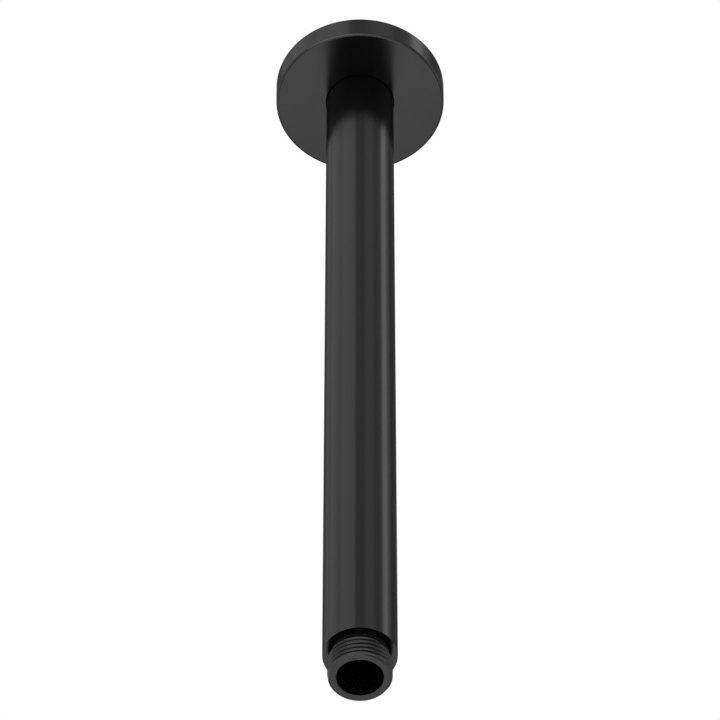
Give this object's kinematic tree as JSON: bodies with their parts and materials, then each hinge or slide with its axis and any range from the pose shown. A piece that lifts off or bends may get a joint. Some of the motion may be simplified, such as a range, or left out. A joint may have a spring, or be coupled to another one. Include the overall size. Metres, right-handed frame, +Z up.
{
  "type": "ceiling shower arm",
  "caption": "Straight ceiling shower arm: a satin black round tube with a male pipe thread at each end and a round cover flange that slides up to hide the ceiling hole.",
  "frame": {"origin": "on the tube's axis, in the ceiling's plane at the flange's back rim", "axes": "+Z up along the tube's axis, out of the inlet end; the arm hangs down along -Z"},
  "size_m": [0.06, 0.06, 0.3351],
  "materials": {
    "black_coated_brass": "satin black coating on turned and drawn brass",
    "black_rubber": "moulded matte black rubber"
  },
  "bodies": {
    "arm": {"arm_tube": "black_coated_brass", "inlet_nipple": "black_coated_brass", "outlet_nipple": "black_coated_brass"},
    "cover": {"ceiling_flange": "black_coated_brass", "flange_grip_ring": "black_rubber"}
  },
  "joints": [
    {"name": "flange_slide", "type": "slide", "parent": "arm", "child": "cover", "axis": [0, 0, -1], "range_m": [0, 0.3]}
  ]
}
